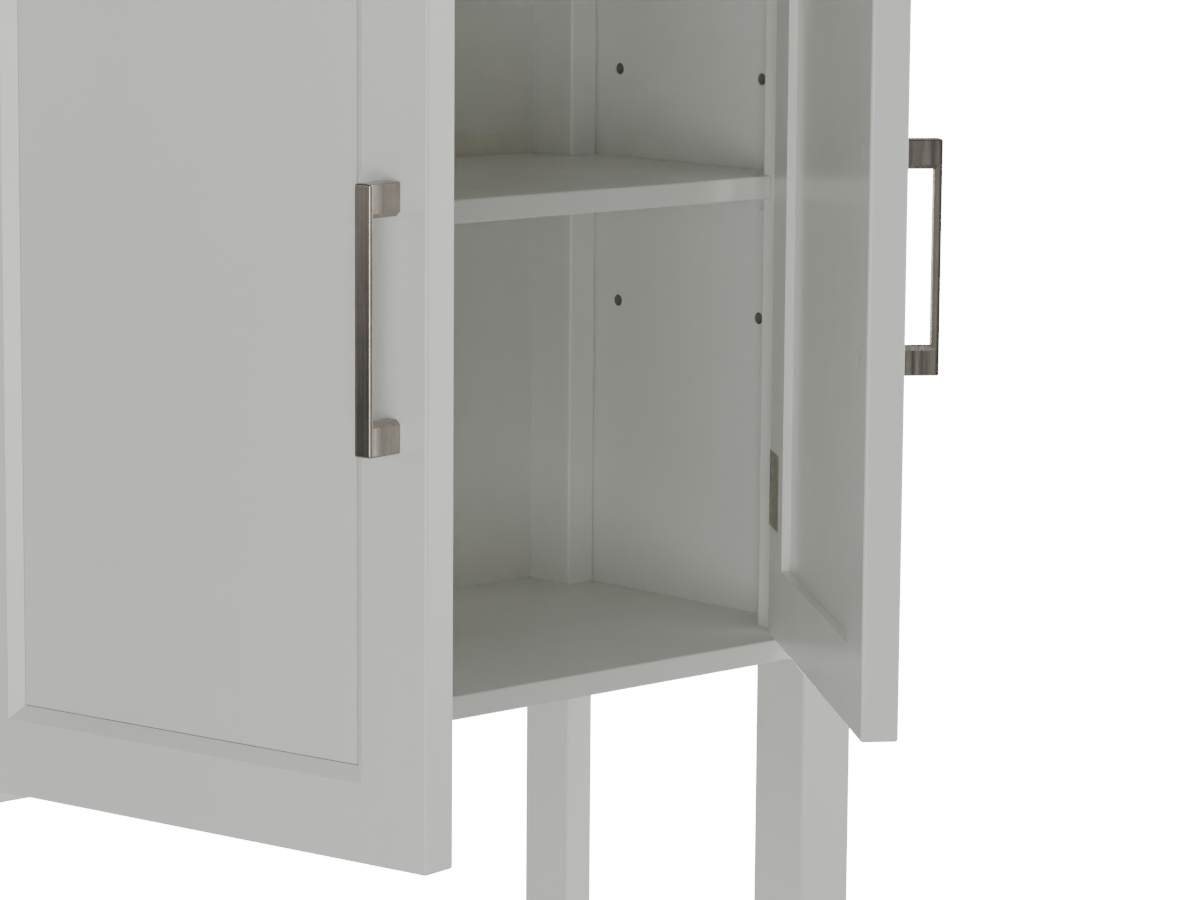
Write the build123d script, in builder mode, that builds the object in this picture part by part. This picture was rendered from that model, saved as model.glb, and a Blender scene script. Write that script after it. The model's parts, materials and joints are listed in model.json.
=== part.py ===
from build123d import *

import os
from math import cos, radians, sin

os.makedirs("parts", exist_ok=True)

# White painted wall cabinet on four tall square legs, with two inset doors that stand open.
# Units are millimetres. +Z is up, the doors face -Y, X runs along the width.
# The origin is on the floor, in the middle of the footprint with the doors open.

# ---- overall ----
CABINET_HEIGHT = 1600.0
INSIDE_HEIGHT = 458.0
OPENING_WIDTH = 548.0
CABINET_DEPTH = 225.0
FRONT_Y = 22.0

# ---- boards and posts ----
TOP_THICKNESS = 18.0
TOP_OVERHANG = 12.0
BOARD_THICKNESS = 12.0
BACK_THICKNESS = 2.5
FRONT_POST_WIDTH = 36.0
FRONT_POST_DEPTH = 36.0
REAR_POST_WIDTH = 19.0
REAR_POST_DEPTH = 35.0
POST_ROUNDING = 1.5
FOOT_CHAMFER = 1.0
BOARD_ROUNDING = 1.0
BACK_REBATE_WIDTH = 8.0
BACK_REBATE_DEPTH = 3.0

# ---- lower frame ----
STRETCHER_THICKNESS = 18.0
STRETCHER_HEIGHT = 40.0
STRETCHER_BOTTOM_Z = 140.0
REAR_STRETCHER_INSET = 7.0
GLIDE_RADIUS = 8.0
GLIDE_HEIGHT = 4.0
GLIDE_SHANK_RADIUS = 2.5
GLIDE_SHANK_LENGTH = 12.0

# ---- shelf ----
SHELF_FRONT_SETBACK = 29.5
SHELF_CLEARANCE = 0.6
SHELF_UNDERSIDE = 228.4
PIN_HOLE_RADIUS = 3.2
PIN_HOLE_DEPTH = 9.0
PIN_RADIUS = 3.1
PIN_LENGTH = 8.0
PIN_HEIGHTS = (160.5, 224.5, 288.5)
PIN_SETBACKS = (61.6, 171.7)
SUPPORT_WIDTH = 12.0
SUPPORT_PLATE = 3.0
SUPPORT_REACH = 10.0
SUPPORT_PAD = 3.0

# ---- doors ----
DOOR_THICKNESS = 18.0
DOOR_MEMBER_WIDTH = 40.0
DOOR_FLAT_WIDTH = 34.0
DOOR_ROUNDING = 1.5
PANEL_RECESS = 4.5
PANEL_TONGUE = 5.0
GROOVE_DEPTH = 8.0
TONGUE_END_GAP = 0.5
SHADOW_GAP = 0.4
HINGE_GAP = 3.0
MEETING_GAP = 2.0
DOOR_BOTTOM_GAP = 2.0
RIGHT_DOOR_OPEN = 54.0
LEFT_DOOR_OPEN = 80.1

# ---- hinges ----
HINGE_HEIGHT = 40.0
HINGE_FROM_DOOR_END = 78.0
LEAF_THICKNESS = 1.2
FRAME_LEAF_LENGTH = 24.0
DOOR_FLANGE_LENGTH = 27.0
KNUCKLE_RADIUS = 3.2
KNUCKLE_COUNT = 5
KNUCKLE_SPACE = 0.5
HINGE_PIN_RADIUS = 1.5
HINGE_RUNNING_CLEARANCE = 0.05
AXIS_IN_FRONT = 3.4
LEAF_START = 0.4
HINGE_SCREW_HEAD = 3.1
HINGE_SCREW_SHANK = 1.5
HINGE_SCREW_LENGTH = 13.0
HINGE_SCREW_SPREAD = 13.0
HINGE_SCREW_INSET = 15.0

# ---- handles ----
HANDLE_SCREW_SPACING = 96.0
HANDLE_FOOT_HEIGHT = 14.0
HANDLE_WIDTH = 8.5
HANDLE_PROJECTION = 18.7
HANDLE_GRIP_THICKNESS = 3.6
HANDLE_FROM_EDGE = 18.0
HANDLE_CORNER_ROUNDING = 1.0
HANDLE_EDGE_ROUNDING = 1.0
HANDLE_LOOP_CHAMFER = 2.0
HANDLE_SCREW_RADIUS = 2.0
HANDLE_SCREW_HOLE = 2.25
HANDLE_SCREW_DEPTH = 10.0
HANDLE_SCREW_HEAD = 4.75
HANDLE_SCREW_HEAD_HEIGHT = 2.4
HANDLE_RISE = {"left": 0.6, "right": -1.8}

# ---- magnetic catch ----
CATCH_WIDTH = 48.0
CATCH_DEPTH = 15.0
CATCH_HEIGHT = 13.0
CATCH_GAP = 0.4
MAGNET_WIDTH = 14.0
MAGNET_HEIGHT = 7.0
MAGNET_DEPTH = 6.0
STRIKE_WIDTH = 18.0
STRIKE_HEIGHT = 11.0
STRIKE_THICKNESS = 1.0
STRIKE_FROM_EDGE = 3.0

# ---- back joining strip, wall bracket, panel fasteners ----
STRIP_CENTRE_HEIGHT = 244.0
STRIP_WIDTH = 17.0
STRIP_WEB = 1.4
STRIP_FLANGE = 0.7
BRACKET_WIDTH = 30.0
BRACKET_LEG = 25.0
BRACKET_THICKNESS = 2.0
WALL_SCREW_RADIUS = 2.75
BRACKET_HOLE_DROP = 17.0
CAM_RADIUS = 7.5
CAM_DEPTH = 8.5
BACK_SCREW_RADIUS = 1.4
BACK_SCREW_LENGTH = 12.0
BACK_SCREW_HEAD = 3.4
BACK_SCREW_HEAD_HEIGHT = 0.8

# ---- worked out ----
HALF_OPENING = OPENING_WIDTH / 2
OUTSIDE_X = HALF_OPENING + FRONT_POST_WIDTH
SIDE_INNER_X = OUTSIDE_X - BOARD_THICKNESS
REAR_POST_X = SIDE_INNER_X - REAR_POST_WIDTH
BACK_Y = FRONT_Y + CABINET_DEPTH
REAR_POST_Y = BACK_Y - REAR_POST_DEPTH
FRONT_POST_BACK_Y = FRONT_Y + FRONT_POST_DEPTH
BACK_FACE_Y = BACK_Y - BACK_REBATE_DEPTH
POST_TOP_Z = CABINET_HEIGHT - TOP_THICKNESS
FLOOR_OF_BOX_Z = POST_TOP_Z - INSIDE_HEIGHT
BOX_BOTTOM_Z = FLOOR_OF_BOX_Z - BOARD_THICKNESS
SHELF_Z = FLOOR_OF_BOX_Z + SHELF_UNDERSIDE
DOOR_WIDTH = HALF_OPENING - HINGE_GAP - MEETING_GAP / 2
DOOR_HEIGHT = INSIDE_HEIGHT - 2 * DOOR_BOTTOM_GAP
DOOR_Z = FLOOR_OF_BOX_Z + DOOR_BOTTOM_GAP
AXIS_FROM_EDGE = HINGE_GAP / 2
TONGUE_START = (DOOR_THICKNESS - PANEL_TONGUE) / 2
TONGUE_END = TONGUE_START + PANEL_TONGUE
KNUCKLE_LENGTH = (HINGE_HEIGHT - (KNUCKLE_COUNT - 1) * KNUCKLE_SPACE) / KNUCKLE_COUNT
HINGE_CENTRES = {
    "lower": DOOR_Z + HINGE_FROM_DOOR_END,
    "upper": DOOR_Z + DOOR_HEIGHT - HINGE_FROM_DOOR_END,
}
DOOR_MIDDLE_Z = DOOR_Z + DOOR_HEIGHT / 2
FLANGE_SEAT = DOOR_THICKNESS - LEAF_THICKNESS
WALL_SCREW_Z = POST_TOP_Z - BRACKET_HOLE_DROP

SIDES = {"left": -1, "right": 1}
OPEN_ANGLE = {"left": LEFT_DOOR_OPEN, "right": RIGHT_DOOR_OPEN}
CORNER = (Align.MIN, Align.MIN, Align.MIN)


def write(part, label):
    """Name a finished piece and write it to its own STEP file."""
    part.label = label
    export_step(part, f"parts/{label}.step")


def span_box(x, y, z, mode=Mode.ADD):
    """Add a box that runs between the given (low, high) pairs of the work plane."""
    low = (min(x), min(y), min(z))
    size = (abs(x[1] - x[0]), abs(y[1] - y[0]), abs(z[1] - z[0]))
    with Locations(low):
        Box(*size, align=CORNER, mode=mode)


def rod(start, direction, radius, length, mode=Mode.ADD):
    """Add a cylinder from a point along a direction, in the row's own frame."""
    with Locations(Plane(origin=start, z_dir=direction)):
        Cylinder(radius, length, align=(Align.CENTER, Align.CENTER, Align.MIN), mode=mode)


def round_near(sketch, point, radius):
    """Round the sketch's corner that is nearest to a point."""
    fillet(sketch.vertices().sort_by_distance((*point, 0))[:1], radius)


# ---- places that several pieces share ----
PIN_PLACES = [
    (sign, FRONT_Y + setback, FLOOR_OF_BOX_Z + height)
    for sign in SIDES.values()
    for setback in PIN_SETBACKS
    for height in PIN_HEIGHTS
]
SUPPORT_PLACES = [
    (sign, FRONT_Y + setback, FLOOR_OF_BOX_Z + PIN_HEIGHTS[1])
    for sign in SIDES.values()
    for setback in PIN_SETBACKS
]
FRONT_GLIDE = (HALF_OPENING + FRONT_POST_WIDTH / 2, FRONT_Y + FRONT_POST_DEPTH / 2)
REAR_GLIDE = (REAR_POST_X + REAR_POST_WIDTH / 2, REAR_POST_Y + REAR_POST_DEPTH / 2)
BACK_SCREW_PLACES = [
    (sign * (REAR_POST_X + BACK_REBATE_WIDTH / 2), FLOOR_OF_BOX_Z + height)
    for sign in SIDES.values()
    for height in (25.0, 125.0, 210.0, 280.0, 355.0, 435.0)
]
CAM_PLACES = [
    (sign * (SIDE_INNER_X - 34.0), y)
    for sign in SIDES.values()
    for y in (FRONT_POST_BACK_Y + 22.0, REAR_POST_Y - 22.0)
]
HINGE_SCREW_RISES = (-HINGE_SCREW_SPREAD, HINGE_SCREW_SPREAD)


def glide_shank(sign, place, mode):
    """The pin of a foot glide, or the hole for it, in the lower end of a post."""
    start = (sign * place[0], place[1], GLIDE_HEIGHT)
    rod(start, (0, 0, 1), GLIDE_SHANK_RADIUS, GLIDE_SHANK_LENGTH, mode)


# ---- carcass ----
def front_post(side, sign):
    inner = sign * HALF_OPENING
    with BuildPart() as post:
        span_box(
            (inner, sign * OUTSIDE_X), (FRONT_Y, FRONT_POST_BACK_Y), (GLIDE_HEIGHT, POST_TOP_Z)
        )
        fillet(post.edges().filter_by(Axis.Z), POST_ROUNDING)
        chamfer(post.edges().group_by(Axis.Z)[0], FOOT_CHAMFER)
        glide_shank(sign, FRONT_GLIDE, Mode.SUBTRACT)
        for centre in HINGE_CENTRES.values():
            for rise in HINGE_SCREW_RISES:
                start = (inner, FRONT_Y + HINGE_SCREW_INSET, centre + rise)
                rod(start, (sign, 0, 0), HINGE_SCREW_SHANK, HINGE_SCREW_LENGTH, Mode.SUBTRACT)
    write(post.part, f"front_post_{side}")


def rear_post(side, sign):
    inner = sign * REAR_POST_X
    with BuildPart() as post:
        span_box((inner, sign * SIDE_INNER_X), (REAR_POST_Y, BACK_Y), (GLIDE_HEIGHT, POST_TOP_Z))
        fillet(post.edges().filter_by(Axis.Z), POST_ROUNDING)
        chamfer(post.edges().group_by(Axis.Z)[0], FOOT_CHAMFER)
        span_box(
            (inner, inner + sign * BACK_REBATE_WIDTH),
            (BACK_FACE_Y, BACK_Y),
            (BOX_BOTTOM_Z, POST_TOP_Z),
            Mode.SUBTRACT,
        )
        glide_shank(sign, REAR_GLIDE, Mode.SUBTRACT)
        for x, z in BACK_SCREW_PLACES:
            if x * sign > 0:
                rod((x, BACK_Y, z), (0, -1, 0), BACK_SCREW_RADIUS, BACK_SCREW_LENGTH, Mode.SUBTRACT)
    write(post.part, f"rear_post_{side}")


def side_panel(side, sign):
    with BuildPart() as panel:
        span_box(
            (sign * SIDE_INNER_X, sign * OUTSIDE_X),
            (FRONT_POST_BACK_Y, BACK_Y),
            (BOX_BOTTOM_Z, POST_TOP_Z),
        )
        fillet(panel.edges().group_by(Axis.Z)[0], BOARD_ROUNDING)
        for place_sign, y, z in PIN_PLACES:
            if place_sign == sign:
                start = (sign * SIDE_INNER_X, y, z)
                rod(start, (sign, 0, 0), PIN_HOLE_RADIUS, PIN_HOLE_DEPTH, Mode.SUBTRACT)
    write(panel.part, f"side_panel_{side}")


def bottom_panel():
    with BuildPart() as panel:
        height = (BOX_BOTTOM_Z, FLOOR_OF_BOX_Z)
        span_box((-HALF_OPENING, HALF_OPENING), (FRONT_Y, FRONT_POST_BACK_Y), height)
        fillet(panel.edges().filter_by(Axis.X).group_by(Axis.Y)[0], BOARD_ROUNDING)
        span_box((-SIDE_INNER_X, SIDE_INNER_X), (FRONT_POST_BACK_Y, REAR_POST_Y), height)
        span_box((-REAR_POST_X, REAR_POST_X), (REAR_POST_Y, BACK_FACE_Y), height)
        for x, y in CAM_PLACES:
            rod((x, y, BOX_BOTTOM_Z), (0, 0, 1), CAM_RADIUS, CAM_DEPTH, Mode.SUBTRACT)
    write(panel.part, "bottom_panel")


def bottom_cam_locks():
    with BuildPart() as cams:
        for x, y in CAM_PLACES:
            rod((x, y, BOX_BOTTOM_Z), (0, 0, 1), CAM_RADIUS, CAM_DEPTH)
            slot_depth = CAM_DEPTH / 3
            span_box((x - 4.5, x + 4.5), (y - 0.8, y + 0.8),
                     (BOX_BOTTOM_Z, BOX_BOTTOM_Z + slot_depth), Mode.SUBTRACT)
            span_box((x - 0.8, x + 0.8), (y - 4.5, y + 4.5),
                     (BOX_BOTTOM_Z, BOX_BOTTOM_Z + slot_depth), Mode.SUBTRACT)
    write(cams.part, "bottom_cam_locks")


def top_panel():
    reach = OUTSIDE_X + TOP_OVERHANG
    with BuildPart() as panel:
        span_box((-reach, reach), (FRONT_Y - TOP_OVERHANG, BACK_Y), (POST_TOP_Z, CABINET_HEIGHT))
        upper = panel.edges().group_by(Axis.Z)[-1].sort_by(Axis.Y)[:3]
        corners = panel.edges().filter_by(Axis.Z).sort_by(Axis.Y)[:2]
        fillet(upper + corners, 3.0)
        lower = panel.edges().group_by(Axis.Z)[0].sort_by(Axis.Y)[:-1]
        fillet(lower, BOARD_ROUNDING)
    write(panel.part, "top_panel")


def back_panels():
    half_width = REAR_POST_X + BACK_REBATE_WIDTH
    thickness = (BACK_FACE_Y, BACK_FACE_Y + BACK_THICKNESS)
    seam = FLOOR_OF_BOX_Z + STRIP_CENTRE_HEIGHT
    spans = {
        "back_panel_lower": (BOX_BOTTOM_Z, seam - STRIP_WEB / 2),
        "back_panel_upper": (seam + STRIP_WEB / 2, POST_TOP_Z),
    }
    for label, height in spans.items():
        with BuildPart() as panel:
            span_box((-half_width, half_width), thickness, height)
            for x, z in BACK_SCREW_PLACES:
                if height[0] < z < height[1]:
                    rod((x, BACK_Y, z), (0, -1, 0), BACK_SCREW_RADIUS, BACK_SCREW_LENGTH,
                        Mode.SUBTRACT)
            if label == "back_panel_upper":
                rod((0, BACK_Y, WALL_SCREW_Z), (0, -1, 0), WALL_SCREW_RADIUS,
                    BACK_SCREW_LENGTH, Mode.SUBTRACT)
        write(panel.part, label)


def back_joining_strip():
    seam = FLOOR_OF_BOX_Z + STRIP_CENTRE_HEIGHT
    flange = (seam - STRIP_WIDTH / 2, seam + STRIP_WIDTH / 2)
    panel_back = BACK_FACE_Y + BACK_THICKNESS
    half_width = REAR_POST_X + BACK_REBATE_WIDTH
    with BuildPart() as strip:
        span_box((-REAR_POST_X, REAR_POST_X), (BACK_FACE_Y - STRIP_FLANGE, BACK_FACE_Y), flange)
        span_box((-half_width, half_width), (BACK_FACE_Y, panel_back),
                 (seam - STRIP_WEB / 2, seam + STRIP_WEB / 2))
        span_box((-half_width, half_width), (panel_back, BACK_Y), flange)
    write(strip.part, "back_joining_strip")


def back_panel_screws():
    panel_back = BACK_FACE_Y + BACK_THICKNESS
    inside_length = BACK_SCREW_LENGTH - (BACK_Y - panel_back)
    with BuildPart() as screws:
        for x, z in BACK_SCREW_PLACES:
            rod((x, panel_back, z), (0, -1, 0), BACK_SCREW_RADIUS, inside_length)
            rod((x, panel_back, z), (0, 1, 0), BACK_SCREW_HEAD, BACK_SCREW_HEAD_HEIGHT)
    write(screws.part, "back_panel_screws")


def adjustable_shelf():
    front = FRONT_Y + SHELF_FRONT_SETBACK
    back = BACK_FACE_Y - STRIP_FLANGE - SHELF_CLEARANCE
    height = (SHELF_Z, SHELF_Z + BOARD_THICKNESS)
    post_gap = HALF_OPENING - SHELF_CLEARANCE
    side_gap = SIDE_INNER_X - SHELF_CLEARANCE
    rear_gap = REAR_POST_X - SHELF_CLEARANCE
    with BuildPart() as shelf:
        span_box((-post_gap, post_gap), (front, FRONT_POST_BACK_Y + SHELF_CLEARANCE), height)
        fillet(shelf.edges().filter_by(Axis.X).group_by(Axis.Y)[0], BOARD_ROUNDING)
        span_box(
            (-side_gap, side_gap),
            (FRONT_POST_BACK_Y + SHELF_CLEARANCE, REAR_POST_Y - SHELF_CLEARANCE),
            height,
        )
        span_box((-rear_gap, rear_gap), (REAR_POST_Y - SHELF_CLEARANCE, back), height)
    write(shelf.part, "adjustable_shelf")


def shelf_supports():
    half = SUPPORT_WIDTH / 2
    with BuildPart() as supports:
        for sign, y, z in SUPPORT_PLACES:
            wall = sign * SIDE_INNER_X
            rod((wall, y, z), (sign, 0, 0), PIN_RADIUS, PIN_LENGTH)
            rod((wall, y, z), (-sign, 0, 0), half, SUPPORT_PLATE)
            inner = wall - sign * SUPPORT_PLATE
            span_box((wall, inner), (y - half, y + half), (z, SHELF_Z))
            span_box(
                (inner, inner - sign * SUPPORT_REACH),
                (y - half, y + half),
                (SHELF_Z - SUPPORT_PAD, SHELF_Z),
            )
            above = (SHELF_Z, SHELF_Z + half)
            span_box((wall, inner), (y - half, y + half), above, Mode.SUBTRACT)
    write(supports.part, "shelf_supports")


def rear_stretcher():
    back = BACK_Y - REAR_STRETCHER_INSET
    with BuildPart() as rail:
        span_box(
            (-REAR_POST_X, REAR_POST_X),
            (back - STRETCHER_THICKNESS, back),
            (STRETCHER_BOTTOM_Z, STRETCHER_BOTTOM_Z + STRETCHER_HEIGHT),
        )
        fillet(rail.edges().filter_by(Axis.X), POST_ROUNDING)
    write(rail.part, "rear_stretcher")


def side_stretcher(side, sign):
    with BuildPart() as rail:
        span_box(
            (sign * REAR_POST_X, sign * (REAR_POST_X + STRETCHER_THICKNESS)),
            (FRONT_POST_BACK_Y, REAR_POST_Y),
            (STRETCHER_BOTTOM_Z, STRETCHER_BOTTOM_Z + STRETCHER_HEIGHT),
        )
        fillet(rail.edges().filter_by(Axis.Y), POST_ROUNDING)
    write(rail.part, f"side_stretcher_{side}")


def foot_glides():
    with BuildPart() as glides:
        for sign in SIDES.values():
            for place in (FRONT_GLIDE, REAR_GLIDE):
                rod((sign * place[0], place[1], 0), (0, 0, 1), GLIDE_RADIUS, GLIDE_HEIGHT)
                glide_shank(sign, place, Mode.ADD)
    write(glides.part, "foot_glides")


def wall_bracket():
    half = BRACKET_WIDTH / 2
    face = BACK_FACE_Y - BRACKET_THICKNESS
    with BuildPart() as bracket:
        span_box((-half, half), (face, BACK_FACE_Y), (POST_TOP_Z - BRACKET_LEG, POST_TOP_Z))
        span_box(
            (-half, half),
            (BACK_FACE_Y - BRACKET_LEG, face),
            (POST_TOP_Z - BRACKET_THICKNESS, POST_TOP_Z),
        )
        rod((0, BACK_FACE_Y, WALL_SCREW_Z), (0, -1, 0), WALL_SCREW_RADIUS,
            BRACKET_THICKNESS, Mode.SUBTRACT)
    write(bracket.part, "wall_bracket")


# ---- magnetic catch ----
def catch_housing():
    front = FRONT_Y + DOOR_THICKNESS + STRIKE_THICKNESS + CATCH_GAP
    half = CATCH_WIDTH / 2
    with BuildPart() as housing:
        span_box((-half, half), (front, front + CATCH_DEPTH),
                 (POST_TOP_Z - CATCH_HEIGHT, POST_TOP_Z))
        fillet(housing.edges().filter_by(Axis.Z), 1.5)
        for sign in SIDES.values():
            magnet_pocket(sign, front, Mode.SUBTRACT)
    write(housing.part, "catch_housing")


def magnet_pocket(sign, front, mode):
    """One magnet's block, or the pocket that holds it, behind its door's strike plate."""
    centre = sign * (MEETING_GAP / 2 + STRIKE_FROM_EDGE + STRIKE_WIDTH / 2)
    middle = POST_TOP_Z - CATCH_HEIGHT / 2
    span_box(
        (centre - MAGNET_WIDTH / 2, centre + MAGNET_WIDTH / 2),
        (front, front + MAGNET_DEPTH),
        (middle - MAGNET_HEIGHT / 2, middle + MAGNET_HEIGHT / 2),
        mode,
    )


def catch_magnets():
    front = FRONT_Y + DOOR_THICKNESS + STRIKE_THICKNESS + CATCH_GAP
    with BuildPart() as magnets:
        for sign in SIDES.values():
            magnet_pocket(sign, front, Mode.ADD)
    write(magnets.part, "catch_magnets")


# ---- door frame of reference ----
class Door:
    """Where one door stands, with points measured from its hinge edge and its outer face.

    across runs from the hinge edge towards the free edge, inward from the outer face.
    """

    def __init__(self, side):
        self.side = side
        self.sign = SIDES[side]
        turn = radians(OPEN_ANGLE[side])
        along = Vector(-self.sign * cos(turn), -sin(turn), 0)
        axis = (self.sign * (HALF_OPENING - AXIS_FROM_EDGE), FRONT_Y - AXIS_IN_FRONT, 0)
        self.flat = Plane(origin=axis, x_dir=along, z_dir=(0, 0, 1))
        self.outward = self.flat.y_dir * self.sign
        self.handle_z = DOOR_MIDDLE_Z + HANDLE_RISE[side]
        reach = HANDLE_SCREW_SPACING / 2
        self.screw_heights = (self.handle_z - reach, self.handle_z + reach)

    def point(self, across, inward, z):
        """A point of the door in the row's frame."""
        local = (across + AXIS_FROM_EDGE, -self.sign * (inward + AXIS_IN_FRONT), z)
        return self.flat.from_local_coords(local)

    def span(self, across, inward, z, mode=Mode.ADD):
        """Add a box that runs between the given (low, high) pairs of the door."""
        centre = self.point(sum(across) / 2, sum(inward) / 2, sum(z) / 2)
        with Locations(Plane(origin=centre, x_dir=self.flat.x_dir, z_dir=(0, 0, 1))):
            Box(across[1] - across[0], inward[1] - inward[0], z[1] - z[0], mode=mode)

    def section_plane(self):
        """Horizontal plane at the door's lower end."""
        return self.flat.offset(DOOR_Z)

    def upright_plane(self, across):
        """Plane square to the door's width, with local Y upwards and X as in the section."""
        origin = self.point(across, -AXIS_IN_FRONT, 0)
        return Plane(origin=origin, x_dir=self.flat.y_dir, z_dir=self.flat.x_dir)

    def depth(self, inward):
        """Local coordinate of a depth behind the outer face, in both kinds of plane."""
        return -self.sign * (inward + AXIS_IN_FRONT)


# Outline of a stile or rail: distance in from the door's edge, then depth behind the outer face.
MEMBER_OUTLINE = (
    (0, 0),
    (DOOR_FLAT_WIDTH, 0),
    (DOOR_MEMBER_WIDTH, PANEL_RECESS),
    (DOOR_MEMBER_WIDTH, TONGUE_START),
    (DOOR_MEMBER_WIDTH - GROOVE_DEPTH, TONGUE_START),
    (DOOR_MEMBER_WIDTH - GROOVE_DEPTH, TONGUE_END),
    (DOOR_MEMBER_WIDTH, TONGUE_END),
    (DOOR_MEMBER_WIDTH, DOOR_THICKNESS),
    (0, DOOR_THICKNESS),
)


def member_face(place):
    """Draw a member's section, where place turns (from edge, depth) into sketch coordinates."""
    Polygon(*[place(*point) for point in MEMBER_OUTLINE])


def door_blank(door):
    """The whole door as one block with rounded edges, which trims each member's outside."""
    with BuildPart() as blank:
        door.span((0, DOOR_WIDTH), (0, DOOR_THICKNESS), (DOOR_Z, DOOR_Z + DOOR_HEIGHT))
        fillet(blank.edges(), DOOR_ROUNDING)
    return blank.part


def hinge_stile(door, blank):
    with BuildPart() as stile:
        with BuildSketch(door.section_plane()):
            member_face(lambda edge, depth: (AXIS_FROM_EDGE + edge, door.depth(depth)))
        extrude(amount=DOOR_HEIGHT)
        add(blank, mode=Mode.INTERSECT)
        for centre in HINGE_CENTRES.values():
            height = (centre - HINGE_HEIGHT / 2, centre + HINGE_HEIGHT / 2)
            door.span((0, DOOR_FLANGE_LENGTH), (FLANGE_SEAT, DOOR_THICKNESS), height, Mode.SUBTRACT)
            for rise in HINGE_SCREW_RISES:
                start = door.point(HINGE_SCREW_INSET, FLANGE_SEAT, centre + rise)
                rod(start, door.outward, HINGE_SCREW_SHANK, HINGE_SCREW_LENGTH, Mode.SUBTRACT)
    write(stile.part, f"{door.side}_door_hinge_stile")
    return stile.part


def lock_stile(door, blank):
    free_edge = AXIS_FROM_EDGE + DOOR_WIDTH
    with BuildPart() as stile:
        with BuildSketch(door.section_plane()):
            member_face(lambda edge, depth: (free_edge - edge, door.depth(depth)))
        extrude(amount=DOOR_HEIGHT)
        add(blank, mode=Mode.INTERSECT)
        for z in door.screw_heights:
            start = door.point(DOOR_WIDTH - HANDLE_FROM_EDGE, DOOR_THICKNESS, z)
            rod(start, door.outward, HANDLE_SCREW_HOLE, DOOR_THICKNESS, Mode.SUBTRACT)
            handle_screw_head(door, z, Mode.SUBTRACT)
    write(stile.part, f"{door.side}_door_lock_stile")
    return stile.part


def door_rail(door, blank, stiles, level):
    """A rail whose ends are cut to the stiles' section, with a tongue in their grooves."""
    ends = DOOR_MEMBER_WIDTH - GROOVE_DEPTH
    if level == "bottom":
        def height(edge):
            return DOOR_Z + edge
    else:
        def height(edge):
            return DOOR_Z + DOOR_HEIGHT - edge
    with BuildPart() as rail:
        with BuildSketch(door.upright_plane(ends)):
            member_face(lambda edge, depth: (door.depth(depth), height(edge)))
        extrude(amount=DOOR_WIDTH - 2 * ends)
        add(blank, mode=Mode.INTERSECT)
        for stile in stiles:
            add(stile, mode=Mode.SUBTRACT)
    write(rail.part, f"{door.side}_door_{level}_rail")


def door_panel(door):
    layers = (
        (DOOR_MEMBER_WIDTH + SHADOW_GAP, PANEL_RECESS, TONGUE_START),
        (DOOR_MEMBER_WIDTH - GROOVE_DEPTH + TONGUE_END_GAP, TONGUE_START, TONGUE_END),
        (DOOR_MEMBER_WIDTH, TONGUE_END, DOOR_THICKNESS - PANEL_RECESS),
    )
    with BuildPart() as panel:
        for margin, near, far in layers:
            door.span(
                (margin, DOOR_WIDTH - margin),
                (near, far),
                (DOOR_Z + margin, DOOR_Z + DOOR_HEIGHT - margin),
            )
    write(panel.part, f"{door.side}_door_panel")


# ---- handles and strike plates ----
def has_length(edge, lengths):
    return min(abs(edge.length - length) for length in lengths) < 0.01


def handle(door):
    """U-shaped pull, softened outside and with a broad chamfer round the finger opening."""
    reach = HANDLE_SCREW_SPACING / 2 + HANDLE_FOOT_HEIGHT / 2
    gap = HANDLE_SCREW_SPACING / 2 - HANDLE_FOOT_HEIGHT / 2
    start = DOOR_WIDTH - HANDLE_FROM_EDGE - HANDLE_WIDTH / 2
    base = door.depth(0)
    front = door.depth(-HANDLE_PROJECTION)
    inner = door.depth(HANDLE_GRIP_THICKNESS - HANDLE_PROJECTION)
    middle = door.handle_z
    outline = (
        (base, middle + reach),
        (front, middle + reach),
        (front, middle - reach),
        (base, middle - reach),
        (base, middle - gap),
        (inner, middle - gap),
        (inner, middle + gap),
        (base, middle + gap),
    )
    with BuildPart() as pull:
        with BuildSketch(door.upright_plane(start)) as section:
            Polygon(*outline)
            for corner in (outline[1], outline[2]):
                round_near(section, corner, HANDLE_CORNER_ROUNDING)
        extrude(amount=HANDLE_WIDTH)
        sides = pull.faces().sort_by(Axis(door.point(0, 0, 0), door.flat.x_dir))
        rims = sides[0].edges() + sides[-1].edges()
        loop_lengths = (2 * gap, HANDLE_PROJECTION - HANDLE_GRIP_THICKNESS)
        loop_rims = [rim for rim in rims if has_length(rim, loop_lengths)]
        other = (*loop_lengths, HANDLE_FOOT_HEIGHT)
        outer_rims = [rim for rim in rims if not has_length(rim, other)]
        fillet(outer_rims, HANDLE_EDGE_ROUNDING)
        chamfer(loop_rims, HANDLE_LOOP_CHAMFER)
        for z in door.screw_heights:
            bore_start = door.point(DOOR_WIDTH - HANDLE_FROM_EDGE, 0, z)
            rod(bore_start, door.outward, HANDLE_SCREW_RADIUS, HANDLE_SCREW_DEPTH, Mode.SUBTRACT)
    write(pull.part, f"{door.side}_door_handle")


def handle_screw_head(door, z, mode):
    """A countersunk head flush with the door's inner face, or the hole it sits in."""
    start = door.point(DOOR_WIDTH - HANDLE_FROM_EDGE, DOOR_THICKNESS, z)
    with Locations(Plane(origin=start, z_dir=door.outward)):
        Cone(HANDLE_SCREW_HEAD, HANDLE_SCREW_RADIUS, HANDLE_SCREW_HEAD_HEIGHT,
             align=(Align.CENTER, Align.CENTER, Align.MIN), mode=mode)


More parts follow.
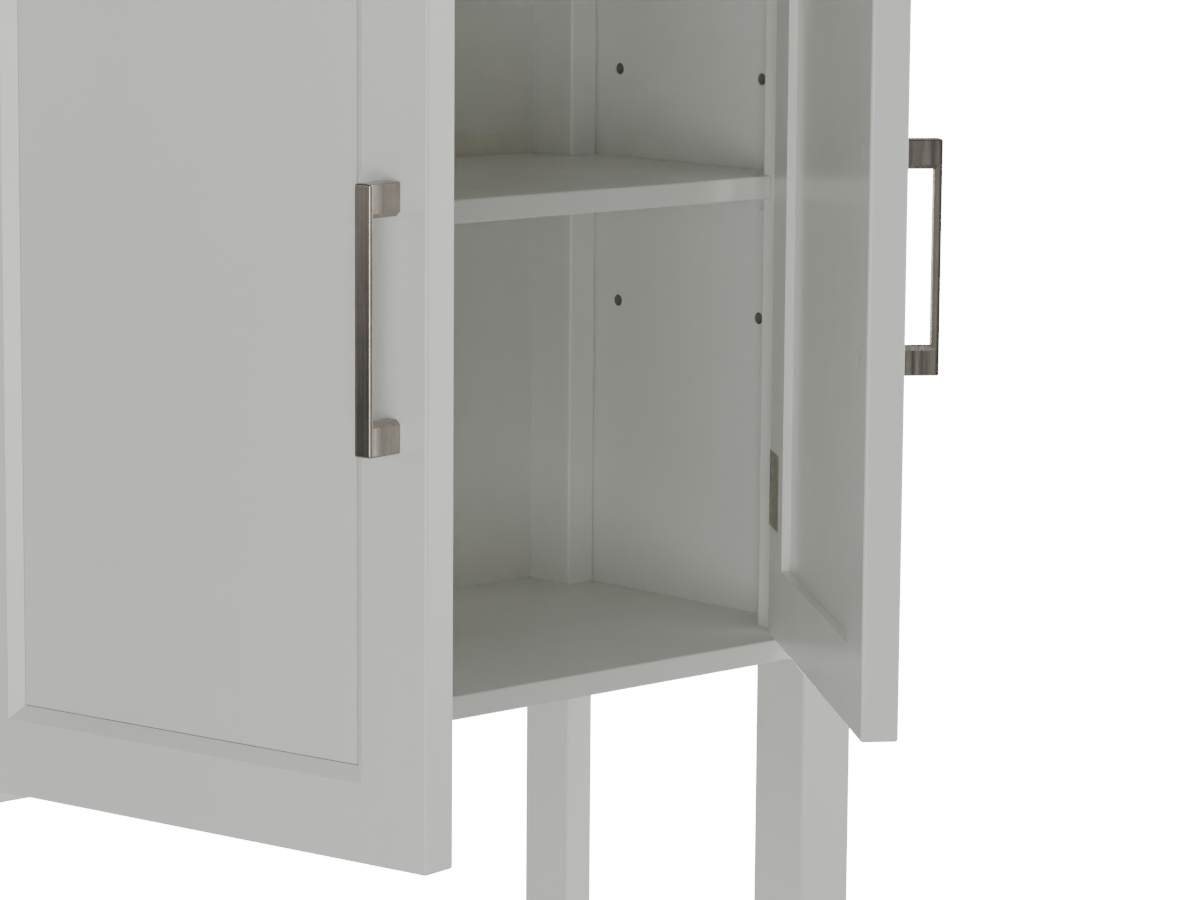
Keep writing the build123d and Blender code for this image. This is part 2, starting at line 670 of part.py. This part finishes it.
def handle_screws(door):
    under_head = DOOR_THICKNESS - HANDLE_SCREW_HEAD_HEIGHT
    with BuildPart() as screws:
        for z in door.screw_heights:
            handle_screw_head(door, z, Mode.ADD)
            start = door.point(DOOR_WIDTH - HANDLE_FROM_EDGE, under_head, z)
            rod(start, door.outward, HANDLE_SCREW_RADIUS, under_head + HANDLE_SCREW_DEPTH)
    write(screws.part, f"{door.side}_handle_screws")


def strike_plate(door):
    top = DOOR_Z + DOOR_HEIGHT - STRIKE_FROM_EDGE
    with BuildPart() as plate:
        door.span(
            (DOOR_WIDTH - STRIKE_FROM_EDGE - STRIKE_WIDTH, DOOR_WIDTH - STRIKE_FROM_EDGE),
            (DOOR_THICKNESS, DOOR_THICKNESS + STRIKE_THICKNESS),
            (top - STRIKE_HEIGHT, top),
        )
    write(plate.part, f"{door.side}_strike_plate")


# ---- hinges ----
def knuckle_spans(centre, first):
    """Heights of every other knuckle, counted from the first one."""
    low = centre - HINGE_HEIGHT / 2
    pitch = KNUCKLE_LENGTH + KNUCKLE_SPACE
    return [
        (low + index * pitch, low + index * pitch + KNUCKLE_LENGTH)
        for index in range(first, KNUCKLE_COUNT, 2)
    ]


def axis_point(door, z):
    return door.flat.from_local_coords((0, 0, z))


def hinge_frame_leaf(door, end, centre):
    inner = door.sign * HALF_OPENING
    face = (inner, inner - door.sign * LEAF_THICKNESS)
    axis_y = FRONT_Y - AXIS_IN_FRONT
    with BuildPart() as leaf:
        span_box(face, (FRONT_Y + LEAF_START, FRONT_Y + FRAME_LEAF_LENGTH),
                 (centre - HINGE_HEIGHT / 2, centre + HINGE_HEIGHT / 2))
        for low, high in knuckle_spans(centre, 0):
            rod(axis_point(door, low), (0, 0, 1), KNUCKLE_RADIUS, high - low)
            span_box(face, (axis_y, FRONT_Y + LEAF_START), (low, high))
        rod(axis_point(door, centre - HINGE_HEIGHT / 2), (0, 0, 1), HINGE_PIN_RADIUS,
            HINGE_HEIGHT, Mode.SUBTRACT)
        for rise in HINGE_SCREW_RISES:
            start = (face[1], FRONT_Y + HINGE_SCREW_INSET, centre + rise)
            countersink(start, (door.sign, 0, 0), Mode.SUBTRACT)
    write(leaf.part, f"{door.side}_{end}_hinge_frame_leaf")


def hinge_door_leaf(door, end, centre):
    """Leaf on the door's hinge edge, wrapped round into a shallow mortise in its inner face."""
    height = (centre - HINGE_HEIGHT / 2, centre + HINGE_HEIGHT / 2)
    with BuildPart() as leaf:
        door.span((-LEAF_THICKNESS, 0), (LEAF_START, DOOR_THICKNESS), height)
        door.span((-LEAF_THICKNESS, DOOR_FLANGE_LENGTH), (FLANGE_SEAT, DOOR_THICKNESS), height)
        for low, high in knuckle_spans(centre, 1):
            rod(axis_point(door, low), (0, 0, 1), KNUCKLE_RADIUS, high - low)
            door.span((-LEAF_THICKNESS, 0), (-AXIS_IN_FRONT, LEAF_START), (low, high))
        rod(axis_point(door, height[0]), (0, 0, 1), HINGE_PIN_RADIUS + HINGE_RUNNING_CLEARANCE,
            HINGE_HEIGHT, Mode.SUBTRACT)
        for rise in HINGE_SCREW_RISES:
            start = door.point(HINGE_SCREW_INSET, DOOR_THICKNESS, centre + rise)
            countersink(start, door.outward, Mode.SUBTRACT)
    write(leaf.part, f"{door.side}_{end}_hinge_door_leaf")


def hinge_pin(door, end, centre):
    with BuildPart() as pin:
        rod(axis_point(door, centre - HINGE_HEIGHT / 2), (0, 0, 1), HINGE_PIN_RADIUS, HINGE_HEIGHT)
    write(pin.part, f"{door.side}_{end}_hinge_pin")


def countersink(start, direction, mode):
    """A countersunk screw's head, or the hole for it, sunk through one leaf thickness."""
    with Locations(Plane(origin=start, z_dir=direction)):
        Cone(HINGE_SCREW_HEAD, HINGE_SCREW_SHANK, LEAF_THICKNESS,
             align=(Align.CENTER, Align.CENTER, Align.MIN), mode=mode)


def hinge_screw(start, direction):
    """A countersunk screw from the leaf's outer surface into the wood behind it."""
    direction = Vector(*direction) if isinstance(direction, tuple) else direction
    countersink(start, direction, Mode.ADD)
    under_head = Vector(*start) + direction * LEAF_THICKNESS
    rod(under_head, direction, HINGE_SCREW_SHANK, HINGE_SCREW_LENGTH)


def hinge_frame_screws(doors):
    with BuildPart() as screws:
        for door in doors:
            leaf_x = door.sign * (HALF_OPENING - LEAF_THICKNESS)
            for centre in HINGE_CENTRES.values():
                for rise in HINGE_SCREW_RISES:
                    start = (leaf_x, FRONT_Y + HINGE_SCREW_INSET, centre + rise)
                    hinge_screw(start, Vector(door.sign, 0, 0))
    write(screws.part, "hinge_frame_screws")


def hinge_door_screws(door):
    with BuildPart() as screws:
        for centre in HINGE_CENTRES.values():
            for rise in HINGE_SCREW_RISES:
                start = door.point(HINGE_SCREW_INSET, DOOR_THICKNESS, centre + rise)
                hinge_screw(start, door.outward)
    write(screws.part, f"{door.side}_hinge_door_screws")


# ---- build everything ----
for name, direction in SIDES.items():
    front_post(name, direction)
    rear_post(name, direction)
    side_panel(name, direction)
    side_stretcher(name, direction)
bottom_panel()
bottom_cam_locks()
top_panel()
back_panels()
back_joining_strip()
back_panel_screws()
adjustable_shelf()
shelf_supports()
rear_stretcher()
foot_glides()
wall_bracket()
catch_housing()
catch_magnets()

both_doors = [Door(name) for name in SIDES]
for leaf_door in both_doors:
    trimmed = door_blank(leaf_door)
    both_stiles = (hinge_stile(leaf_door, trimmed), lock_stile(leaf_door, trimmed))
    for rail_level in ("bottom", "top"):
        door_rail(leaf_door, trimmed, both_stiles, rail_level)
    door_panel(leaf_door)
    handle(leaf_door)
    handle_screws(leaf_door)
    strike_plate(leaf_door)
    hinge_door_screws(leaf_door)
    for hinge_end, hinge_centre in HINGE_CENTRES.items():
        hinge_frame_leaf(leaf_door, hinge_end, hinge_centre)
        hinge_door_leaf(leaf_door, hinge_end, hinge_centre)
        hinge_pin(leaf_door, hinge_end, hinge_centre)
hinge_frame_screws(both_doors)
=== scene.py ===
import json
import math

import bmesh
import bpy
from mathutils import Matrix, Vector


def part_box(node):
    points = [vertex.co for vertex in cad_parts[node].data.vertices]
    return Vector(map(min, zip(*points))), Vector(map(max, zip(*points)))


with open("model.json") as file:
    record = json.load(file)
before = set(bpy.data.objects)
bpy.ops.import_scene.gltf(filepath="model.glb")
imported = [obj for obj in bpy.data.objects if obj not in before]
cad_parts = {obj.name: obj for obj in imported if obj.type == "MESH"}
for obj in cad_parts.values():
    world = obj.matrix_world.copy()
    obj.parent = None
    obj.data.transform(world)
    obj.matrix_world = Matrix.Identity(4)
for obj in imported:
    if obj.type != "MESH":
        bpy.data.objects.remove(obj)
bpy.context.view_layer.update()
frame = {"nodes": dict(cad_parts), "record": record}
scene = bpy.context.scene
record = frame["record"]

MM = 0.001    # the frame is in metres

# ---- camera ----
CAMERA_TARGET = Vector((0.1250, 0.0220, 1.2369))    # a point on the camera's axis, in metres
CAMERA_DISTANCE = 2.1926
CAMERA_YAW = math.radians(43.047)      # turned from +Y towards +X
CAMERA_PITCH = math.radians(8.5365)    # looking down
CAMERA_ROLL = math.radians(0.4543)
CAMERA_LENS = 131.33                   # mm, on a sensor 36 mm wide
SENSOR_WIDTH = 36.0

forward = Vector((
    math.sin(CAMERA_YAW) * math.cos(CAMERA_PITCH),
    math.cos(CAMERA_YAW) * math.cos(CAMERA_PITCH),
    -math.sin(CAMERA_PITCH),
))


def make_camera():
    """Make the camera and return its right and up, along which the backdrop is lined up too."""
    level_right = Vector((math.cos(CAMERA_YAW), -math.sin(CAMERA_YAW), 0))
    level_up = level_right.cross(forward)
    cosine, sine = math.cos(CAMERA_ROLL), math.sin(CAMERA_ROLL)
    right = cosine * level_right + sine * level_up
    up = cosine * level_up - sine * level_right
    data = bpy.data.cameras.new("photo_camera")
    data.sensor_width = SENSOR_WIDTH
    data.lens = CAMERA_LENS
    data.clip_start = 0.05
    data.clip_end = 200
    camera = bpy.data.objects.new("photo_camera", data)
    axes = Matrix((right, up, -forward)).transposed().to_4x4()
    place = CAMERA_TARGET - forward * CAMERA_DISTANCE
    camera.matrix_world = Matrix.Translation(place) @ axes
    scene.collection.objects.link(camera)
    scene.camera = camera
    return right, up


camera_right, camera_up = make_camera()


# ---- material helpers ----
MIX_COLOUR_A = 6
MIX_COLOUR_B = 7
MIX_COLOUR_RESULT = 2


class Nodes:
    """A short way to build a node tree: each call makes a node, sets it and links it."""

    def __init__(self, tree):
        self.tree = tree
        tree.nodes.clear()

    def add(self, kind, inputs=None, **settings):
        node = self.tree.nodes.new(kind)
        for name, value in settings.items():
            setattr(node, name, value)
        for name, value in (inputs or {}).items():
            self.link(value, node.inputs[name])
        return node

    def position(self, scale=(1, 1, 1)):
        """Where a point is on the object, in metres, stretched by scale."""
        where = self.add("ShaderNodeTexCoord").outputs["Object"]
        return self.add("ShaderNodeMapping", {"Vector": where, "Scale": scale}).outputs["Vector"]

    def noise(self, vector, scale, detail=3.0, roughness=0.5):
        inputs = {"Vector": vector, "Scale": scale, "Detail": detail, "Roughness": roughness}
        return self.add("ShaderNodeTexNoise", inputs).outputs["Fac"]

    def ramp(self, value, low, high, out_low, out_high, kind="LINEAR"):
        inputs = {"Value": value, "From Min": low, "From Max": high,
                  "To Min": out_low, "To Max": out_high}
        return self.add("ShaderNodeMapRange", inputs, interpolation_type=kind).outputs["Result"]

    def mix(self, factor, first, second):
        """A colour between two; the Mix node's colour sockets share their names with others."""
        node = self.add("ShaderNodeMix", data_type="RGBA")
        self.link(factor, node.inputs["Factor"])
        self.link(first, node.inputs[MIX_COLOUR_A])
        self.link(second, node.inputs[MIX_COLOUR_B])
        return node.outputs[MIX_COLOUR_RESULT]

    def link(self, value, socket):
        """Feed a socket from another node, or set it where the value is a plain one."""
        if isinstance(value, bpy.types.NodeSocket):
            self.tree.links.new(value, socket)
        else:
            socket.default_value = value

    def math(self, operation, first, second=0.0):
        node = self.add("ShaderNodeMath", operation=operation)
        self.link(first, node.inputs[0])
        self.link(second, node.inputs[1])
        return node.outputs[0]

    def bump(self, height, distance, strength):
        inputs = {"Height": height, "Distance": distance, "Strength": strength}
        return self.add("ShaderNodeBump", inputs).outputs["Normal"]

    def surface(self, **inputs):
        named = {name.replace("_", " "): value for name, value in inputs.items()}
        shader = self.add("ShaderNodeBsdfPrincipled", named)
        out = self.add("ShaderNodeOutputMaterial")
        self.tree.links.new(shader.outputs[0], out.inputs["Surface"])


def new_material(name):
    material = bpy.data.materials.new(name)
    material.use_nodes = True
    return material, Nodes(material.node_tree)


def rgb(red, green, blue):
    return (red, green, blue, 1.0)


def shaded(colour, factor):
    return tuple(factor * channel for channel in colour[:3]) + (1.0,)


RAW_BOARD = rgb(0.34, 0.31, 0.27)
SKIN = 0.6 * MM


def paint(name, light, dark, roughness, peel=0.00002, grain=(1, 1, 1), bored=None):
    """Sprayed satin lacquer: slow changes of tone, faint grain and a shallow orange peel."""
    material, n = new_material(name)
    where = n.position()
    slow = n.noise(where, 3.2, 4.0, 0.55)
    cloud = n.ramp(slow, 0.3, 0.7, 0.0, 1.0)
    base = n.mix(cloud, dark, light)
    fibres = n.noise(n.position(grain), 55.0, 3.0, 0.6)
    fine = n.ramp(fibres, 0.35, 0.65, 0.0, 0.05)
    base = n.mix(fine, base, shaded(dark, 0.94))
    if bored is not None:
        base = n.mix(inside_of(n, bored), base, RAW_BOARD)
    wave = n.noise(where, 160.0, 1.0, 0.4)
    gloss = n.ramp(n.noise(where, 14.0, 3.0, 0.6), 0.3, 0.7, roughness - 0.02, roughness + 0.03)
    n.surface(Base_Color=base, Roughness=gloss, Normal=n.bump(wave, peel, 0.4), IOR=1.47)
    return material


def inside_of(n, node_name):
    """1 for points inside a board's own box, which are the walls of the holes bored in it."""
    low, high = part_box(node_name)
    where = n.add("ShaderNodeTexCoord").outputs["Object"]
    split = n.add("ShaderNodeSeparateXYZ", {"Vector": where})
    inside = 1.0
    for axis, start, end in zip("XYZ", low, high):
        value = split.outputs[axis]
        after = n.math("GREATER_THAN", value, start + SKIN)
        before = n.math("LESS_THAN", value, end - SKIN)
        inside = n.math("MULTIPLY", inside, n.math("MULTIPLY", after, before))
    return inside


def brushed_metal(name, light, dark, roughness, lines, depth=0.00002, patina=0.5):
    """Brushed aged metal: fine parallel scratches, with darker patina in slow patches."""
    material, n = new_material(name)
    where = n.position()
    along = n.position(lines)
    strokes = n.noise(along, 1.0, 3.0, 0.65)
    wide = n.noise(along, 0.31, 2.0, 0.5)
    aged = n.ramp(n.noise(where, 70.0, 4.0, 0.6), 0.35, 0.7, 0.0, patina)
    base = n.mix(n.ramp(strokes, 0.35, 0.65, 0.0, 1.0), dark, light)
    base = n.mix(aged, base, shaded(dark, 0.45))
    gloss = n.ramp(wide, 0.3, 0.7, roughness - 0.06, roughness + 0.10)
    relief = n.bump(strokes, depth, 0.7)
    n.surface(Base_Color=base, Metallic=1.0, Roughness=gloss, Normal=relief)
    return material


def moulded_plastic(name, light, dark, roughness):
    material, n = new_material(name)
    where = n.position()
    base = n.mix(n.ramp(n.noise(where, 40.0, 3.0), 0.3, 0.7, 0.0, 1.0), dark, light)
    texture = n.noise(where, 1800.0, 2.0, 0.6)
    gloss = n.ramp(n.noise(where, 120.0, 2.0), 0.3, 0.7, roughness - 0.04, roughness + 0.05)
    n.surface(Base_Color=base, Roughness=gloss, Normal=n.bump(texture, 0.00003, 0.5), IOR=1.49)
    return material


WHITE = rgb(0.800, 0.806, 0.765)
WHITE_SHADE = rgb(0.780, 0.787, 0.745)
PAINT_ROUGHNESS = 0.22
UPRIGHT_GRAIN = (1, 1, 0.06)
materials = {
    "white_paint": paint("white_paint", WHITE, WHITE_SHADE, PAINT_ROUGHNESS, grain=UPRIGHT_GRAIN),
    "back_board": paint("back_board", rgb(0.74, 0.745, 0.70), rgb(0.72, 0.725, 0.68), 0.38),
    "joining_strip": moulded_plastic(
        "joining_strip", rgb(0.74, 0.72, 0.63), rgb(0.69, 0.67, 0.585), 0.35),
    "handle_metal": brushed_metal(
        "handle_metal", rgb(0.36, 0.33, 0.29), rgb(0.29, 0.262, 0.225), 0.25,
        (1100, 1100, 22), depth=0.000006, patina=0.25),
    "hinge_metal": brushed_metal(
        "hinge_metal", rgb(0.46, 0.42, 0.33), rgb(0.24, 0.215, 0.16), 0.33, (900, 900, 900)),
    "screw_steel": brushed_metal(
        "screw_steel", rgb(0.66, 0.66, 0.64), rgb(0.45, 0.45, 0.44), 0.30,
        (1500, 1500, 300), patina=0.2),
    "painted_screw": paint("painted_screw", WHITE, shaded(WHITE_SHADE, 0.88), 0.30),
    "magnet": brushed_metal(
        "magnet", rgb(0.10, 0.10, 0.11), rgb(0.05, 0.05, 0.055), 0.55, (800, 800, 800), patina=0.2),
    "catch_plastic": moulded_plastic(
        "catch_plastic", rgb(0.80, 0.80, 0.78), rgb(0.76, 0.76, 0.74), 0.42),
    "glide_plastic": moulded_plastic(
        "glide_plastic", rgb(0.33, 0.33, 0.32), rgb(0.28, 0.28, 0.27), 0.5),
}

bored_boards = {
    board: paint(f"{board}_paint", WHITE, WHITE_SHADE, PAINT_ROUGHNESS,
                 grain=UPRIGHT_GRAIN, bored=board)
    for board in ("side_panel_left", "side_panel_right")
}

slot_of = {entry["node"]: entry["material_slot"] for entry in record["subparts"]}
for node_name, node in frame["nodes"].items():
    node.data.materials.clear()
    node.data.materials.append(bored_boards.get(node_name, materials[slot_of[node_name]]))


# ---- light, floor and world ----
BACKDROP_LEVEL = 18.0
ROOM_LEVEL = 0.12
# the backdrop from its middle outwards: fully lit up to the first, ends at the second (tangents)
BACKDROP_HALF_WIDTH = (math.tan(math.radians(8.1)), math.tan(math.radians(9.3)))
BACKDROP_HALF_HEIGHT = (math.tan(math.radians(6.3)), math.tan(math.radians(8.0)))
FLOOR_RADIUS = 3.7
FLOOR_SEGMENTS = 128
FLOOR_FADE_START = 1.3
FLOOR_FADE_END = 3.6
SOFTBOX_DISTANCE = 3.0
SOFTBOX_SIZE = (1.7, 1.3)
LIT_MIDDLE = Vector((0.05, 0.05, 1.25))


def dot(n, direction, axis):
    product = n.add("ShaderNodeVectorMath", operation="DOT_PRODUCT")
    n.tree.links.new(direction, product.inputs[0])
    product.inputs[1].default_value = axis
    return product.outputs["Value"]


def studio_level(n, direction):
    """How bright the studio is in a direction: a lit backdrop panel straight ahead of the
    camera, from fixed values, so it stays in place in other views, and dim elsewhere."""
    ahead = dot(n, direction, forward)
    inside = n.math("GREATER_THAN", ahead, 0.0)
    panel = ((camera_right, BACKDROP_HALF_WIDTH), (camera_up, BACKDROP_HALF_HEIGHT))
    for axis, (full, none) in panel:
        aside = n.math("ABSOLUTE", n.math("DIVIDE", dot(n, direction, axis), ahead))
        inside = n.math("MULTIPLY", inside, n.ramp(aside, full, none, 1.0, 0.0, "SMOOTHSTEP"))
    return n.ramp(inside, 0.0, 1.0, ROOM_LEVEL, BACKDROP_LEVEL)


def make_world():
    world = bpy.data.worlds.new("studio")
    world.use_nodes = True
    n = Nodes(world.node_tree)
    direction = n.add("ShaderNodeTexCoord").outputs["Generated"]
    level = studio_level(n, direction)
    background = n.add("ShaderNodeBackground", {"Color": rgb(1, 1, 1), "Strength": level})
    out = n.add("ShaderNodeOutputWorld")
    n.tree.links.new(background.outputs[0], out.inputs["Surface"])
    scene.world = world


def make_floor():
    """A pale disc under the cabinet that fades into the dim surroundings towards its edge."""
    mesh = bpy.data.meshes.new("floor")
    shape = bmesh.new()
    bmesh.ops.create_circle(shape, cap_ends=True, radius=FLOOR_RADIUS, segments=FLOOR_SEGMENTS)
    shape.to_mesh(mesh)
    shape.free()
    floor = bpy.data.objects.new("floor", mesh)
    scene.collection.objects.link(floor)
    material, n = new_material("floor")
    where = n.add("ShaderNodeTexCoord").outputs["Object"]
    length = n.add("ShaderNodeVectorMath", operation="LENGTH")
    n.tree.links.new(where, length.inputs[0])
    far = n.ramp(length.outputs["Value"], FLOOR_FADE_START, FLOOR_FADE_END, 0.0, 1.0, "SMOOTHSTEP")
    tone = n.mix(n.ramp(n.noise(where, 2.0, 4.0), 0.3, 0.7, 0.0, 1.0),
                 rgb(0.74, 0.74, 0.73), rgb(0.78, 0.78, 0.77))
    relief = n.bump(n.noise(where, 300.0, 2.0), 0.0002, 0.3)
    near = n.add("ShaderNodeBsdfPrincipled",
                 {"Base Color": tone, "Roughness": 0.6, "Normal": relief})
    glow = n.add("ShaderNodeEmission", {"Color": rgb(1, 1, 1), "Strength": ROOM_LEVEL})
    blend = n.add("ShaderNodeMixShader", {"Fac": far})
    n.tree.links.new(near.outputs[0], blend.inputs[1])
    n.tree.links.new(glow.outputs[0], blend.inputs[2])
    out = n.add("ShaderNodeOutputMaterial")
    n.tree.links.new(blend.outputs[0], out.inputs["Surface"])
    mesh.materials.append(material)


def area_light(name, place, target, size, power):
    data = bpy.data.lights.new(name, "AREA")
    data.shape = "RECTANGLE"
    data.size, data.size_y = size
    data.energy = power
    light = bpy.data.objects.new(name, data)
    place, target = Vector(place), Vector(target)
    light.matrix_world = (Matrix.Translation(place)
                          @ (target - place).to_track_quat("-Z", "Y").to_matrix().to_4x4())
    scene.collection.objects.link(light)


def softbox(name, azimuth, elevation, power, size=SOFTBOX_SIZE):
    """A soft light facing the cabinet; azimuth turns from the cabinet's front towards -X."""
    turn, rise = math.radians(azimuth), math.radians(elevation)
    level = math.cos(rise)
    offset = Vector((-math.sin(turn) * level, -math.cos(turn) * level, math.sin(rise)))
    area_light(name, LIT_MIDDLE + SOFTBOX_DISTANCE * offset, LIT_MIDDLE, size, power)


make_world()
make_floor()
softbox("key_softbox", 46, -2, 35, size=(1.2, 1.3))
softbox("side_softbox", 64, 3, 14)
softbox("left_rear_softbox", 117, 11, 7)
softbox("right_softbox", -38, 34, 40)
softbox("low_right_softbox", -60, 0, 19)
softbox("rear_softbox", 160, 20, 26)
area_light("overhead_softbox", (0.1, 0.0, 4.2), (0.1, 0.0, 1.2), (2.0, 2.0), 16)
